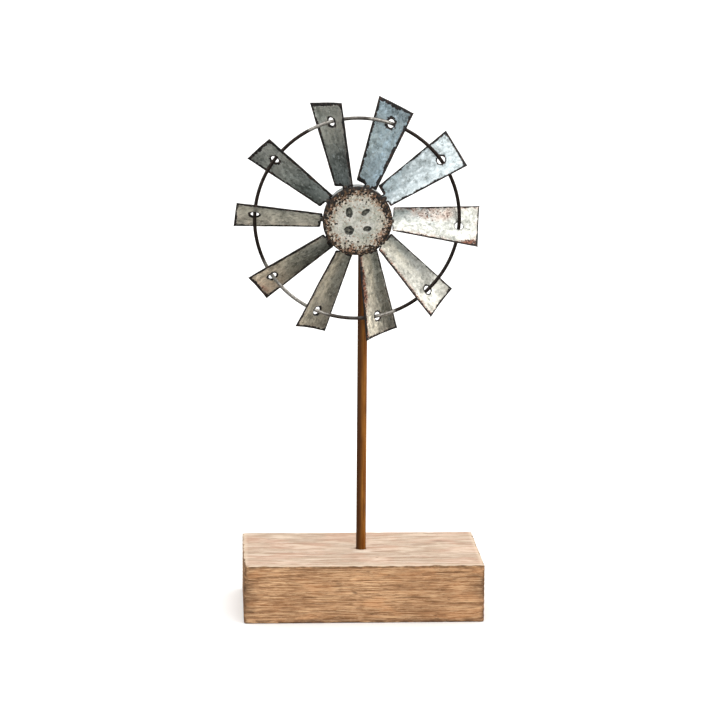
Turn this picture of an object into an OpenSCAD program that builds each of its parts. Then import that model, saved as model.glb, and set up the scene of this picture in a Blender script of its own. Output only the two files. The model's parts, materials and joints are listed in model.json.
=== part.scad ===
// Tabletop garden windmill: a ten-blade galvanised wheel on a rod mast, set in a timber block.
// Origin at the centre of the block's underside, +Z up, the wheel faces -Y.

/* [Base block] */
// Length of the timber block, along X
block_l = 154; // [120:1:180]
// Depth of the timber block, along Y
block_d = 89; // [60:1:110]
// Height of the timber block
block_h = 38; // [34:1:60]
// Eased edge round the block
block_ease = 0.8; // [0.4:0.1:2]

/* [Mast] */
// Diameter of the mast rod
mast_d = 6.35; // [5:0.05:8]
// Height of the wheel's centre above the table
hub_z = 257.2; // [180:0.1:320]
// How deep the rod's full diameter goes into the block
socket_depth = 14; // [8:1:18]
// Diameter of the stud on the rod's lower end
stud_d = 5; // [4:0.5:5]

/* [Wheel] */
// Forward lean of the wheel's axle, in degrees
axle_lean = 6; // [0:0.5:7]
// Distance from the mast's axis forward to the ring's centre
standoff = 24; // [24:0.5:32]
// Radius of the wire ring, to the middle of the wire
ring_r = 64.5; // [60:0.5:68]
// Diameter of the ring's wire
wire_d = 2.4; // [2:0.1:3]

/* [Blades] */
// Number of blades
blade_count = 10; // [10:10]
// Distance from the wheel's centre to a blade's tip
tip_r = 77; // [72:0.5:80]
// Distance from the wheel's centre to a blade's inner end
root_r = 22.4; // [22.4:0.1:26]
// Width of a blade's outer end
tip_w = 29; // [22:0.5:31]
// Width of a blade's inner end
root_w = 17.1; // [12:0.1:17.6]
// Thickness of the blade sheet
blade_t = 0.8; // [0.6:0.1:1]
// Mean pitch of the blades from the plane of the wheel, in degrees
mean_pitch = 43; // [40:1:44]
// Radius of the blade's hollow, across its width
camber_r = 75; // [60:5:150]
// Diameter of the hole for the ring
ring_hole_d = 5.3; // [5.3:0.1:6.4]

/* [Hub] */
// Outer diameter of the pressed cap
cap_d = 44; // [42:0.5:45]
// Sheet thickness of the cap, the drum and the bracket
hub_t = 0.8; // [0.6:0.1:1]
// Diameter of the axle pin
axle_d = 4; // [3.5:0.1:4]

/* [Hidden] */
$fn = 64;
eps = 0.01;

// The blades are set by hand, in degrees: how far each one's ring hole lies off an even spacing, how far the
// blade is turned clockwise about that hole, and how far its pitch is off the mean.
first_blade_angle = 105;
blade_drift = [0, 2.5, 3, -1, -6.5, -3, -2, 1.5, 0, 2.5];
blade_skew = [3.5, 2, 2.5, 2, 3, 3, 1, 1, 2, 2.5];
pitch_drift = [5, -2, -4, -4, 3, 0, 0, -2, 4, 0];
blade_step = 360 / blade_count;
function blade_angle(i) = first_blade_angle - i * blade_step + blade_drift[i];
function pitch(i) = mean_pitch + pitch_drift[i];
function blade_name(i) = str("blade_", i < 9 ? "0" : "", i + 1);

// Colours
timber = "#b99468";
rust_brown = "#6b4420";
zinc = "#a9aca8";
dark_steel = "#4a4643";
weld_grey = "#5c5650";

// Mast and its fastening
mast_r = mast_d / 2;
mast_tip_chamfer = 0.8;
bolt_play = 0.2;
counterbore_r = 9;
counterbore_h = 12;
washer_r = 7.5;
washer_h = 1.2;
nut_flats = 8;
nut_h = 4;
nut_chamfer = 0.6;
nut_gap = 0.05;
stud_past_nut = 2;
washer_z = counterbore_h - washer_h;
nut_z = washer_z - nut_h;
stud_end_z = nut_z - stud_past_nut;
socket_z = block_h - socket_depth;

// The axle lies beside the mast and touches it
axle_r = axle_d / 2;
hub_x = -(mast_r + axle_r);
axle_cross_z = hub_z + standoff * tan(axle_lean);
mast_top_z = axle_cross_z + 8;
axle_past_mast = 6;
axle_back = -(standoff + axle_past_mast) / cos(axle_lean);
axle_front = 4.6;
axle_chamfer = 0.4;
weld_r = 3.5;
weld_core_r = 0.7;

// Stations along the axle, measured forward from the ring's plane
collar_back = -20.2;
collar_front = -11.6;
collar_r = 3.2;
thrust_h = 0.6;
thrust_r = 4.6;
thrust_gap = 0.4;
sleeve_back = collar_front + thrust_h + thrust_gap;
sleeve_r = 3.5;
sleeve_play = 0.05;
sleeve_flange_r = 5.4;
drum_back = -8.2;
drum_front = 4.8;
drum_r = cap_d / 2 - hub_t - 0.1;
drum_edge = 1.8;
floor_back = 1;
sleeve_front = floor_back + hub_t;
retainer_r = 3.6;
front_washer_back = sleeve_front + thrust_gap;
push_nut_back = front_washer_back + thrust_h;
push_nut_h = 0.9;
press_gap = 0.02;

// Cap and bracket
cap_r = cap_d / 2;
cap_front = 7.4;
cap_back = 4.2;
cap_edge = 2.4;
bracket_side = 21;
bracket_bowl_r = 5;
hole_play = 0.1;
dent_depth = 0.45;
// Each weld dent: across, up, and radius at the cap's face
dents = [[-5.4, 5.9, 2.1], [4.8, 6.1, 2.0], [-5.4, -5.6, 2.6], [6, -4.5, 1.9]];

// Blade root, its tab and its slot
root_shift = -0.6;
root_trim = 0.8;
set_back = 0.4;
tab_w = 6.4;
tab_shift = -2.1;
tab_in_r = 18.6;
slot_play = 0.35;
blade_weld_r = 1.5;
ring_weld_r = 1.7;
ring_weld_along = 3.1;
ring_weld_behind = 1.2;
ring_weld_turn = 2.75;
ring_weld_reach = 6;
wire_gap = 0.03;
function hole_shift(i) = -set_back / sin(pitch(i));
ring_fn = 96;

// Places what is drawn about local Z with its back at z = 0 on the leaning axle, "at" ahead of the ring.
module on_axle(at = 0) {
    translate([hub_x, -standoff, hub_z])
        rotate([90 + axle_lean, 0, 0])
            translate([0, 0, at])
                children();
}

// Local X runs out along blade i, Y across it and Z along its face's normal. The blade pivots about its ring
// hole, which is centred on the ring's wire.
module on_blade(i) {
    on_axle()
        rotate([0, 0, blade_angle(i)])
            translate([ring_r, 0, 0])
                rotate([0, 0, -blade_skew[i]])
                    rotate([-pitch(i), 0, 0])
                        translate([-ring_r, -hole_shift(i), 0])
                            children();
}

module tube(outer_r, inner_r, h) {
    difference() {
        cylinder(r = outer_r, h = h);
        translate([0, 0, -eps])
            cylinder(r = inner_r, h = h + 2 * eps);
    }
}

// Half section of a solid disc of radius r and height h, its lower corner rounded.
module rounded_section(r, h, edge) {
    square([r - edge, h]);
    translate([0, edge])
        square([r, h - edge]);
    translate([r - edge, edge])
        intersection() {
            circle(edge);
            translate([0, -edge])
                square(edge);
        }
}

// Pressed cup with its closed face at z = 0.
module cup(r, h, edge) {
    rotate_extrude($fn = ring_fn)
        difference() {
            rounded_section(r, h, edge);
            translate([0, hub_t])
                rounded_section(r - hub_t, h, edge - hub_t);
        }
}

module base_block() {
    color(timber)
        difference() {
            intersection() {
                eased_bar(block_l, block_d, block_h);
                translate([0, 0, block_h / 2])
                    rotate([90, 0, 0])
                        translate([0, 0, -block_d / 2])
                            linear_extrude(block_d)
                                eased_rectangle(block_l, block_h);
                translate([0, 0, block_h / 2])
                    rotate([90, 0, 90])
                        translate([0, 0, -block_l / 2])
                            linear_extrude(block_l)
                                eased_rectangle(block_d, block_h);
            }
            translate([0, 0, socket_z])
                cylinder(d = mast_d, h = socket_depth + 1);
            cylinder(d = stud_d + 2 * bolt_play, h = block_h);
            translate([0, 0, -1])
                cylinder(r = counterbore_r, h = counterbore_h + 1);
        }
}

module eased_bar(l, d, h) {
    linear_extrude(h)
        eased_rectangle(l, d);
}

// Rectangle about the origin with its corners cut off.
module eased_rectangle(w, h) {
    x = w / 2;
    y = h / 2;
    c = block_ease;
    polygon([
        [-x + c, -y], [x - c, -y], [x, -y + c], [x, y - c],
        [x - c, y], [-x + c, y], [-x, y - c], [-x, -y + c]
    ]);
}

module mast_rod() {
    color(rust_brown) {
        translate([0, 0, socket_z])
            cylinder(r = mast_r, h = mast_top_z - mast_tip_chamfer - socket_z);
        translate([0, 0, mast_top_z - mast_tip_chamfer])
            cylinder(r1 = mast_r, r2 = mast_r - mast_tip_chamfer, h = mast_tip_chamfer);
        translate([0, 0, stud_end_z])
            cylinder(d = stud_d, h = socket_z - stud_end_z + eps);
    }
}

module mast_washer() {
    color(zinc)
        translate([0, 0, washer_z])
            tube(washer_r, stud_d / 2 + bolt_play, washer_h);
}

module mast_nut() {
    across_corners = nut_flats / cos(30);
    color(zinc)
        translate([0, 0, nut_z])
            difference() {
                intersection() {
                    cylinder(d = across_corners, h = nut_h, $fn = 6);
                    union() {
                        cylinder(r1 = nut_flats / 2, r2 = nut_flats / 2 + nut_chamfer, h = nut_chamfer);
                        translate([0, 0, nut_chamfer])
                            cylinder(r = nut_flats / 2 + nut_chamfer, h = nut_h - nut_chamfer);
                    }
                }
                translate([0, 0, -eps])
                    cylinder(r = stud_d / 2 + nut_gap, h = nut_h + 2 * eps);
            }
}

module axle_pin() {
    length = axle_front - axle_back;
    color(dark_steel)
        on_axle(axle_back) {
            cylinder(r = axle_r, h = length - axle_chamfer);
            translate([0, 0, length - axle_chamfer])
                cylinder(r1 = axle_r, r2 = axle_r - axle_chamfer, h = axle_chamfer);
        }
}

module axle_weld() {
    color(weld_grey)
        difference() {
            translate([-mast_r, 0, axle_cross_z])
                sphere(r = weld_r);
            cylinder(r = mast_r, h = mast_top_z + weld_r);
            on_axle(axle_back - weld_r)
                cylinder(r = axle_r, h = standoff + axle_past_mast + 2 * weld_r);
            // clears the point where the two bars touch
            translate([-mast_r - weld_r, 0, axle_cross_z])
                rotate([0, 90, 0])
                    cylinder(r = weld_core_r, h = 2 * weld_r);
        }
}

module axle_collar() {
    color(dark_steel)
        on_axle(collar_back)
            tube(collar_r, axle_r + press_gap, collar_front - collar_back);
}

module rear_washer() {
    color(zinc)
        on_axle(collar_front)
            tube(thrust_r, axle_r + press_gap, thrust_h);
}

module front_washer() {
    color(zinc)
        on_axle(front_washer_back)
            tube(retainer_r, axle_r + press_gap, thrust_h);
}

module push_nut() {
    color(zinc)
        on_axle(push_nut_back)
            tube(retainer_r, axle_r + press_gap, push_nut_h);
}

module hub_sleeve() {
    color(zinc)
        on_axle()
            difference() {
                union() {
                    translate([0, 0, sleeve_back])
                        cylinder(r = sleeve_r, h = sleeve_front - sleeve_back);
                    translate([0, 0, sleeve_back])
                        cylinder(r = sleeve_flange_r, h = drum_back - sleeve_back);
                }
                translate([0, 0, sleeve_back - 1])
                    cylinder(r = axle_r + sleeve_play, h = sleeve_front - sleeve_back + 2);
            }
}

module hub_drum() {
    color(dark_steel)
        difference() {
            on_axle(drum_back)
                cup(drum_r, drum_front - drum_back, drum_edge);
            on_axle(drum_back - 1)
                cylinder(r = sleeve_r + hole_play, h = hub_t + 2);
            for (i = [0 : blade_count - 1])
                on_blade(i)
                    root_slot();
        }
}

// The cut that a blade's root tab passes through.
module root_slot() {
    slot_h = blade_t + 2 * slot_play;
    translate([tab_in_r, tab_shift - tab_w / 2 - slot_play, -slot_h / 2 + 0.1])
        cube([drum_r - tab_in_r + 2, tab_w + 2 * slot_play, slot_h]);
}

module hub_bracket() {
    flange_z = cap_front - 2 * hub_t;
    color(zinc)
        on_axle(floor_back)
            difference() {
                union() {
                    cylinder(r = bracket_bowl_r, h = flange_z - floor_back);
                    translate([-bracket_side / 2, -bracket_side / 2, flange_z - floor_back])
                        cube([bracket_side, bracket_side, hub_t]);
                }
                translate([0, 0, hub_t])
                    cylinder(r = bracket_bowl_r - hub_t, h = cap_front);
                translate([0, 0, -1])
                    cylinder(r = sleeve_r + hole_play, h = hub_t + 2);
            }
}

module hub_cap() {
    color(zinc)
        on_axle(cap_front)
            difference() {
                mirror([0, 0, 1])
                    cup(cap_r, cap_front - cap_back, cap_edge);
                for (d = dents)
                    translate([d.x, d.y, 0])
                        dent(d.z);
            }
}

// A shallow round dent of radius r, cut by a sphere down from z = 0.
module dent(r) {
    ball_r = (r * r + dent_depth * dent_depth) / (2 * dent_depth);
    translate([0, 0, ball_r - dent_depth])
        sphere(r = ball_r);
}

module wire_ring() {
    color(dark_steel)
        on_axle()
            rotate_extrude($fn = ring_fn)
                translate([ring_r, 0])
                    circle(d = wire_d, $fn = 24);
}

// A short straight stand-in for the wire just past blade i, a hair thicker than it.
module wire_near(i) {
    on_axle()
        rotate([0, 0, blade_angle(i) - ring_weld_turn])
            translate([ring_r, 0, 0])
                rotate([90, 0, 0])
                    cylinder(r = wire_d / 2 + wire_gap, h = ring_weld_reach, center = true);
}

// A flat trapezium with its inner corners trimmed and a narrow tab on its inner end.
module blade_outline() {
    tab_low = tab_shift - tab_w / 2;
    tab_high = tab_shift + tab_w / 2;
    low = root_shift - root_w / 2;
    high = root_shift + root_w / 2;
    polygon([
        [tip_r, -tip_w / 2], [tip_r, tip_w / 2],
        [root_r + root_trim, high], [root_r, high - root_trim], [root_r, tab_high],
        [tab_in_r, tab_high], [tab_in_r, tab_low],
        [root_r, tab_low], [root_r, low + root_trim], [root_r + root_trim, low]
    ]);
}

// Sheet of blade i in its own frame: hollow on the front, the camber's axis along X.
module blade_sheet(i) {
    rise = tip_w * tip_w / (4 * camber_r) + 2;
    difference() {
        intersection() {
            translate([0, 0, -rise])
                linear_extrude(2 * rise)
                    blade_outline();
            translate([0, 0, camber_r])
                rotate([0, 90, 0])
                    difference() {
                        cylinder(r = camber_r + blade_t / 2, h = tip_r + 1);
                        translate([0, 0, -1])
                            cylinder(r = camber_r - blade_t / 2, h = tip_r + 3);
                    }
        }
        translate([ring_r, hole_shift(i), -rise])
            cylinder(d = ring_hole_d, h = 2 * rise);
    }
}

module blade(i) {
    color(zinc)
        on_blade(i)
            blade_sheet(i);
}

// A bead on each face of every root tab, against the drum.
module blade_welds() {
    color(weld_grey)
        for (i = [0 : blade_count - 1])
            difference() {
                on_blade(i)
                    for (side = [-1, 1])
                        translate([drum_r + blade_weld_r / 2, tab_shift, side * blade_t / 2])
                            sphere(r = blade_weld_r);
                on_axle(drum_back)
                    cylinder(r = drum_r, h = drum_front - drum_back);
                on_axle(cap_back)
                    cylinder(r = cap_r, h = cap_front - cap_back);
                on_blade(i)
                    blade_sheet(i);
            }
}

// A bead in the wedge between the wire and the back of every blade.
module ring_welds() {
    color(weld_grey)
        for (i = [0 : blade_count - 1])
            difference() {
                on_blade(i)
                    translate([ring_r, hole_shift(i) - ring_weld_along, 0])
                        difference() {
                            translate([0, 0, -ring_weld_behind])
                                sphere(r = ring_weld_r);
                            translate([-2 * ring_weld_r, -2 * ring_weld_r, -blade_t / 2])
                                cube(4 * ring_weld_r);
                        }
                wire_near(i);
            }
}

base_block();
mast_rod();
mast_washer();
mast_nut();
axle_pin();
axle_weld();
axle_collar();
rear_washer();
front_washer();
push_nut();
hub_drum();
hub_sleeve();
hub_bracket();
hub_cap();
wire_ring();
blade_welds();
ring_welds();
for (i = [0 : blade_count - 1])
    blade(i);
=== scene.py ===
"""Looks for the tabletop garden windmill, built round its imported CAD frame.

The timber block, the blades, the cap and the ring get detailed meshes of their own. The mast, the drum, the
welds and the hardware keep their CAD shapes and get new materials. Shapes are written in millimetres.
"""

import json
import math

import bpy
from mathutils import Matrix, Vector, noise
from mathutils.geometry import delaunay_2d_cdt


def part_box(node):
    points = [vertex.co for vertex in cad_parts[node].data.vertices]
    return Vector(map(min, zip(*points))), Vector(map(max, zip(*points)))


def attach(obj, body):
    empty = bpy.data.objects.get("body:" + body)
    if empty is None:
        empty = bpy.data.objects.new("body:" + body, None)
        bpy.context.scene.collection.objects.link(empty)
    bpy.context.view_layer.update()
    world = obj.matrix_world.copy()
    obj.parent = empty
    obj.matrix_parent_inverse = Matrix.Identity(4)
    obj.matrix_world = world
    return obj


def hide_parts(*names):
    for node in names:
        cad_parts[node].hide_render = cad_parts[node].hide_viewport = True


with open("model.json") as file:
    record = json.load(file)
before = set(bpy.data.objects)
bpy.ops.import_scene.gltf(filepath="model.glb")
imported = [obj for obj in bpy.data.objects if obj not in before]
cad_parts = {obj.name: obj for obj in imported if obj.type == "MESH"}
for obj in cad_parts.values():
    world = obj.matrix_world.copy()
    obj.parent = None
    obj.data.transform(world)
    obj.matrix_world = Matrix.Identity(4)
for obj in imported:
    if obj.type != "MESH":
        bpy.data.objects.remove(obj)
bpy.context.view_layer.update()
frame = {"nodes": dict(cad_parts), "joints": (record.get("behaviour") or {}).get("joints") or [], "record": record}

MM = 0.001
STAND = "stand"
WHEEL = "wheel"

# ---------------------------------------------------------------- the wheel's own frame
# Local X is to the right, Y up the wheel and Z along the axle, out of the wheel's face.
spin = frame["joints"][0]
HUB = Vector(spin["pos_m"])
FACING = Vector(spin["axis"]).normalized()
RIGHT = Vector((1, 0, 0))
UP = FACING.cross(RIGHT)


def frame_matrix(x_axis, y_axis, z_axis, origin):
    turn = Matrix((x_axis, y_axis, z_axis)).transposed().to_4x4()
    return Matrix.Translation(origin) @ turn


WHEEL_FRAME = frame_matrix(RIGHT, UP, FACING, HUB)


def in_wheel(node):
    """A CAD node's corners in the wheel's frame, in millimetres."""
    inverse = WHEEL_FRAME.inverted()
    return [(inverse @ v.co) / MM for v in frame["nodes"][node].data.vertices]


def reach(point):
    return math.hypot(point.x, point.y)


# ---------------------------------------------------------------- small helpers
def rgb(red, green, blue):
    """A display colour, 0 to 255, as the linear colour that a shader takes."""
    def linear(value):
        value /= 255
        return value / 12.92 if value <= 0.04045 else ((value + 0.055) / 1.055) ** 2.4
    return (linear(red), linear(green), linear(blue), 1)


def smooth(low, high, value):
    """0 at low, 1 at high, with soft ends."""
    step = min(max((value - low) / (high - low), 0), 1)
    return step * step * (3 - 2 * step)


def lumps(x, y, z=0.0):
    """Smooth noise between about -1 and 1."""
    return noise.noise(Vector((x, y, z)))


def make_piece(name, points, faces, place, body, material, replaces, values):
    """A mesh piece from points in millimetres. values holds its per-point numbers, by name."""
    mesh = bpy.data.meshes.new(name)
    mesh.from_pydata([Vector(p) * MM for p in points], [], faces)
    mesh.update()
    for key, numbers in values.items():
        layer = mesh.attributes.new(key, "FLOAT", "POINT")
        layer.data.foreach_set("value", numbers)
    mesh.shade_smooth()
    mesh.materials.append(material)
    piece = bpy.data.objects.new(name, mesh)
    bpy.context.collection.objects.link(piece)
    piece.matrix_world = place
    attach(piece, body)
    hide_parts(*replaces)
    return piece


# ---------------------------------------------------------------- shader building
class Shader:
    """One material's node graph, built call by call. Every call returns an output socket."""

    def __init__(self, name):
        self.material = bpy.data.materials.new(name)
        self.material.use_nodes = True
        self.tree = self.material.node_tree
        self.surface = self.tree.nodes["Principled BSDF"]

    def feed(self, socket, value):
        if isinstance(value, bpy.types.NodeSocket):
            self.tree.links.new(value, socket)
        else:
            socket.default_value = value

    def add(self, kind, inputs, output, **settings):
        node = self.tree.nodes.new(kind)
        for key, value in settings.items():
            setattr(node, key, value)
        for key, value in inputs.items():
            self.feed(node.inputs[key], value)
        return node.outputs[output]

    def place(self, stretch=(1, 1, 1)):
        """Position on the piece, in metres, times stretch."""
        spot = self.add("ShaderNodeTexCoord", {}, "Object")
        return self.add("ShaderNodeMapping", {"Vector": spot, "Scale": stretch}, "Vector")

    def along(self, axis):
        """Position on the piece along one axis, in metres."""
        spot = self.add("ShaderNodeTexCoord", {}, "Object")
        return self.add("ShaderNodeSeparateXYZ", {"Vector": spot}, axis)

    def value(self, name):
        """A per-point number of the piece's mesh."""
        return self.add("ShaderNodeAttribute", {}, "Fac", attribute_name=name)

    def clouds(self, place, scale, detail=3.0, rough=0.5, seed=0.0):
        inputs = {"Vector": place, "Scale": scale, "Detail": detail, "Roughness": rough, "W": seed}
        return self.add("ShaderNodeTexNoise", inputs, "Fac", noise_dimensions="4D")

    def cells(self, place, scale, output="Distance", seed=0.0):
        inputs = {"Vector": place, "Scale": scale, "W": seed}
        return self.add("ShaderNodeTexVoronoi", inputs, output, voronoi_dimensions="4D")

    def fade(self, value, low, high, start=0.0, end=1.0):
        """start where value is at low, end where it is at high, with soft ends."""
        inputs = {"Value": value, "From Min": low, "From Max": high, "To Min": start, "To Max": end}
        return self.add("ShaderNodeMapRange", inputs, "Result", interpolation_type="SMOOTHSTEP")

    def sum(self, first, second, operation="ADD"):
        return self.add("ShaderNodeMath", {0: first, 1: second}, 0, operation=operation)

    def times(self, first, second):
        return self.sum(first, second, "MULTIPLY")

    def grey(self, colour):
        return self.add("ShaderNodeRGBToBW", {"Color": colour}, "Val")

    def mix(self, share, first, second, blend="MIX"):
        """Colour from first to second by share. Sockets 6 and 7 of the Mix node are its colours."""
        inputs = {0: share, 6: first, 7: second}
        return self.add("ShaderNodeMix", inputs, 2, data_type="RGBA", blend_type=blend)

    def bump(self, height, depth_mm, below=None):
        inputs = {"Height": height, "Distance": depth_mm * MM, "Strength": 1.0}
        if below is not None:
            inputs["Normal"] = below
        return self.add("ShaderNodeBump", inputs, "Normal")

    def finish(self, colour, roughness, metallic, normal, specular=0.5):
        self.feed(self.surface.inputs["Base Color"], colour)
        self.feed(self.surface.inputs["Roughness"], roughness)
        self.feed(self.surface.inputs["Metallic"], metallic)
        self.feed(self.surface.inputs["Normal"], normal)
        self.surface.inputs["Specular IOR Level"].default_value = specular
        return self.material


def galvanised_sheet():
    """Weathered spangled zinc with browned edges, painted highlights and painted shade. The blades carry tone
    (zinc brightness, partly patina and partly painted light and shade), warmth, rim (gap to an edge), edge_width,
    rust and seed."""
    s = Shader("galvanised_sheet")
    place = s.place()
    seed = s.value("seed")
    rim = s.value("rim")
    flakes = s.grey(s.cells(place, 430, "Color", seed=seed))
    haze = s.clouds(place, 60, 3, 0.6, seed)
    blotch = s.clouds(place, 260, 4, 0.62, seed)
    fine = s.clouds(place, 800, 3, 0.6, seed)
    scratch = s.clouds(s.place((0.2, 1, 1)), 1100, 2, 0.5, seed)

    shine = s.sum(s.times(flakes, 0.14), s.times(haze, 0.50))
    shine = s.sum(shine, s.times(blotch, 0.55))
    shine = s.sum(shine, s.times(fine, 0.22))
    zinc = s.mix(s.fade(shine, 0.50, 0.82), rgb(146, 150, 148), rgb(242, 245, 245))
    # Painted highlight: near-white blotches on the zinc.
    bright = s.fade(s.sum(blotch, s.times(flakes, 0.12)), 0.65, 0.72)
    zinc = s.mix(s.times(bright, 0.9), zinc, rgb(252, 254, 255))
    # Painted highlight: small near-white glints.
    painted_glint = s.fade(s.clouds(place, 620, 2, 0.5, s.sum(seed, 3.0)), 0.60, 0.67)
    zinc = s.mix(s.times(painted_glint, 0.85), zinc, rgb(252, 254, 255))
    dull = s.fade(s.clouds(place, 560, 4, 0.7, seed), 0.53, 0.66)
    stained = s.fade(s.value("tone_and_light"), 0.3, 0.9, 1.0, 0.5)
    zinc = s.mix(s.times(dull, s.times(stained, 0.68)), zinc, rgb(86, 86, 79))
    pits = s.fade(s.clouds(place, 1500, 2, 0.6, seed), 0.58, 0.66)
    zinc = s.mix(s.times(pits, s.times(stained, 0.55)), zinc, rgb(68, 67, 60))
    # Tint from cool to warm by the blade's warmth, which is lower where the sheet is painted darker: painted cool
    # shade.
    warmth = s.value("warmth")
    cool = s.mix(1.0, zinc, rgb(226, 243, 255), "MULTIPLY")
    warm = s.mix(1.0, zinc, rgb(255, 248, 235), "MULTIPLY")
    zinc = s.mix(warmth, cool, warm)
    # Painted light and shade: the zinc is darkened where the blade's brightness value is low; part of that value
    # is patina.
    zinc = s.mix(s.value("tone_and_light"), s.mix(1.0, zinc, rgb(108, 109, 104), "MULTIPLY"), zinc)
    # Painted highlight: small pale specks, laid on after the darkening so they show on dark blades too.
    painted_sparkle = s.fade(s.clouds(place, 480, 2, 0.5, s.sum(seed, 6.0)), 0.61, 0.66)
    zinc = s.mix(s.times(painted_sparkle, 0.45), zinc, rgb(216, 222, 222))

    rust = s.value("rust")
    near = s.sum(s.clouds(place, 1000, 4, 0.72, seed), s.times(rust, 0.38))
    near = s.sum(near, s.times(s.clouds(place, 200, 3, 0.6, seed), 0.35))
    rust_share = s.times(s.fade(near, 0.86, 0.95), s.fade(rust, 0.02, 0.25))
    flaked = s.fade(s.clouds(place, 600, 3, 0.6, seed), 0.38, 0.62)
    rust_colour = s.mix(flaked, rgb(40, 23, 16), rgb(138, 88, 66))
    blush = s.times(s.fade(rust, 0.0, 0.7), s.fade(s.clouds(place, 150, 3, 0.6, seed), 0.34, 0.60))
    metal = s.mix(s.times(blush, 0.70), zinc, rgb(196, 164, 148))
    metal = s.mix(rust_share, metal, rust_colour)
    ragged = s.sum(s.clouds(place, 620, 4, 0.7, seed), s.clouds(place, 140, 2, 0.5, seed))
    ragged = s.times(s.fade(ragged, 0.62, 1.30, 0.25, 1.0), s.times(s.value("edge_width"), 1.75))
    edge_share = s.fade(s.sum(rim, ragged, "SUBTRACT"), 0.20, -0.20)
    burnt = s.fade(s.clouds(place, 500, 3, 0.6, seed), 0.48, 0.70)
    edge_colour = s.mix(burnt, rgb(14, 11, 9), rgb(66, 44, 34))
    colour = s.mix(edge_share, metal, edge_colour)

    dirt = s.sum(rust_share, edge_share, "MAXIMUM")
    gloss = s.fade(shine, 0.54, 0.86, 0.44, 0.28)
    roughness = s.sum(gloss, s.times(dirt, 0.35))
    metallic = s.fade(dirt, 0.1, 0.9, 0.88, 0.10)
    height = s.sum(s.times(blotch, 0.4), s.times(scratch, 0.12))
    height = s.sum(height, s.times(dirt, -0.3))
    normal = s.bump(height, 0.35, s.bump(haze, 1.5))
    return s.finish(colour, roughness, metallic, normal)


def cap_patina():
    """Dull zinc, pale in the middle, with rust specks that thicken into a dark brown rim. The cap carries out
    (0 at its middle, 1 at its lip) and dent."""
    s = Shader("cap_patina")
    place = s.place()
    out = s.value("out")
    dent = s.value("dent")
    haze = s.clouds(place, 150, 4, 0.6)
    fine = s.clouds(place, 640, 3, 0.65)
    zinc = s.mix(s.fade(haze, 0.35, 0.65), rgb(164, 165, 152), rgb(208, 206, 198))
    zinc = s.mix(s.fade(fine, 0.50, 0.60, 0.0, 0.42), zinc, rgb(108, 109, 98))
    zinc = s.mix(s.fade(s.clouds(place, 500, 2, 0.6, 2.0), 0.52, 0.62, 0.0, 0.45), zinc, rgb(222, 221, 210))

    wander = s.sum(out, s.times(s.sum(s.clouds(place, 70, 3, 0.6), -0.5), 0.40))
    crowd = s.fade(wander, 0.53, 1.10)
    warm = s.mix(s.fade(wander, 0.50, 0.84, 0.0, 0.55), zinc, rgb(164, 150, 130))
    cream = s.fade(s.clouds(place, 720, 1, 0.5, 4.0), 0.56, 0.60)
    warm = s.mix(s.times(cream, s.fade(wander, 0.46, 0.70, 0.0, 0.75)), warm, rgb(226, 216, 200))
    tan = s.fade(s.sum(s.clouds(place, 640, 2, 0.6, 9.0), s.times(crowd, 0.20)), 0.59, 0.63)
    warm = s.mix(s.times(tan, 0.7), warm, rgb(136, 92, 58))
    specks = s.sum(s.clouds(place, 760, 2, 0.6), s.times(crowd, 0.34))
    picked = s.fade(s.sum(s.grey(s.cells(place, 700, "Color")), s.times(crowd, 0.75)), 0.70, 0.72)
    dots = s.times(s.times(picked, s.fade(s.cells(place, 700), 0.52, 0.40)), s.fade(wander, 0.46, 0.56))
    speck_share = s.sum(s.fade(specks, 0.68, 0.70), dots, "MAXIMUM")
    rusty = s.fade(s.clouds(place, 110, 2, 0.5, 11.0), 0.52, 0.62)
    warm = s.mix(s.times(rusty, s.fade(wander, 0.62, 0.86, 0.0, 0.55)), warm, rgb(150, 98, 68))
    brown = s.mix(s.fade(s.clouds(place, 420, 3, 0.65), 0.46, 0.62), rgb(15, 11, 7), rgb(76, 54, 30))
    colour = s.mix(speck_share, warm, brown)
    edge = s.sum(out, s.times(s.sum(s.clouds(place, 330, 4, 0.7), -0.5), 0.34))
    band = s.fade(edge, 0.975, 1.0)
    colour = s.mix(band, colour, s.mix(s.fade(fine, 0.50, 0.64), rgb(15, 11, 8), rgb(72, 48, 30)))
    burnt = s.mix(s.fade(s.clouds(place, 800, 2, 0.6, 6.0), 0.44, 0.56), rgb(32, 33, 29), rgb(80, 80, 72))
    burnt = s.mix(s.fade(dent, 0.72, 0.98), burnt, rgb(112, 110, 100))
    ringed = s.fade(s.sum(dent, s.times(fine, 0.3)), 0.20, 0.34)
    colour = s.mix(ringed, colour, burnt)
    dirt = s.sum(speck_share, band, "MAXIMUM")
    roughness = s.fade(dirt, 0.0, 1.0, 0.50, 0.82)
    metallic = s.fade(dirt, 0.0, 1.0, 0.40, 0.05)
    height = s.sum(s.times(dirt, 0.5), s.times(fine, 0.4))
    normal = s.bump(height, 0.25, s.bump(haze, 0.5))
    return s.finish(colour, roughness, metallic, normal)


def dark_metal(name, low, high, roughness, metallic, grain=700.0, depth=0.12):
    """Browned or dull steel: two colours in clouds, with fine pitting."""
    s = Shader(name)
    place = s.place()
    patch = s.clouds(place, 160, 4, 0.65)
    pits = s.clouds(place, grain, 4, 0.7)
    colour = s.mix(s.fade(patch, 0.35, 0.68), low, high)
    colour = s.mix(s.fade(pits, 0.62, 0.75), colour, rgb(70, 40, 24))
    rough = s.fade(pits, 0.3, 0.7, roughness - 0.1, roughness + 0.15)
    normal = s.bump(s.sum(pits, s.times(patch, 0.5)), depth)
    return s.finish(colour, rough, metallic, normal)


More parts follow.
